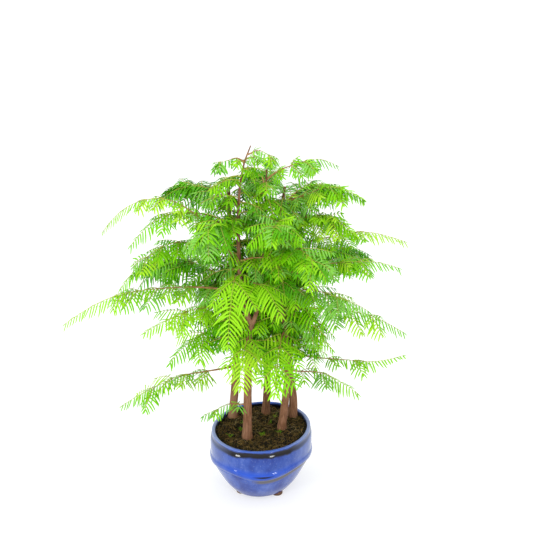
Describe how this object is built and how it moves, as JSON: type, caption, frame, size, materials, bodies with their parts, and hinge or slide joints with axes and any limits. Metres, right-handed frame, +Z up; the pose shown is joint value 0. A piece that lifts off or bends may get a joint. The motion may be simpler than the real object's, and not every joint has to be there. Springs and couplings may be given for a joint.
{
  "type": "dawn redwood bonsai forest in a glazed pot",
  "caption": "Group planting of slender conifer trunks with arching boughs of feathery foliage in an oval glazed bowl with soil.",
  "frame": {"origin": "on the pot's vertical axis at the level of its feet, under the middle of its underside", "axes": "+Z up along the trunks, +Y away from the front of the pot, +X to the right of the front view"},
  "size_m": [0.4885, 0.2947, 0.5432],
  "materials": {
    "glaze": "glossy blue glaze, paler at the lip, with dark broken bands and unglazed brown feet",
    "soil": "dark moist soil with mossy fibres and pale rootlets",
    "bark": "matt reddish-brown fibrous bark",
    "foliage": "soft bright green needles in two ranks, satin"
  },
  "bodies": {
    "root": {"back_low_foliage": "foliage", "back_middle_left_bough": "bark", "back_middle_left_foliage": "foliage", "back_middle_right_foliage": "foliage", "back_top_foliage": "foliage", "back_trunk": "bark", "back_upper_left_foliage": "foliage", "back_upper_right_foliage": "foliage", "crown_front_left_foliage": "foliage", "crown_front_right_foliage": "foliage", "crown_middle_foliage": "foliage", "front_crossing_foliage": "foliage", "front_left_hanging_bough": "bark", "front_left_hanging_foliage": "foliage", "front_low_left_foliage": "foliage", "front_low_right_foliage": "foliage", "front_right_hanging_bough": "bark", "front_right_hanging_foliage": "foliage", "front_trunk": "bark", "front_trunk_fork": "bark", "inner_right_trunk": "bark", "left_arching_bough": "bark", "left_arching_foliage": "foliage", "left_hanging_bough": "bark", "left_hanging_foliage": "foliage", "left_longest_bough": "bark", "left_longest_foliage": "foliage", "left_middle_bough": "bark", "left_middle_foliage": "foliage", "left_trunk": "bark", "left_upper_bough": "bark", "left_upper_foliage": "foliage", "low_left_bough": "bark", "low_left_foliage": "foliage", "low_right_bough": "bark", "low_right_foliage": "foliage", "low_right_front_bough": "bark", "low_right_front_foliage": "foliage", "lowest_left_foliage": "foliage", "pot": "glaze", "right_drooping_bough": "bark", "right_drooping_foliage": "foliage", "right_front_upper_bough": "bark", "right_front_upper_foliage": "foliage", "right_long_bough": "bark", "right_long_foliage": "foliage", "right_middle_bough": "bark", "right_middle_foliage": "foliage", "right_shoulder_bough": "bark", "right_shoulder_foliage": "foliage", "right_trunk": "bark", "right_upper_bough": "bark", "right_upper_foliage": "foliage", "soil": "soil", "top_left_tuft_foliage": "foliage", "top_right_bough": "bark", "top_right_foliage": "foliage", "top_right_tuft_foliage": "foliage", "upper_left_long_bough": "bark", "upper_left_long_foliage": "foliage"}
  },
  "joints": []
}
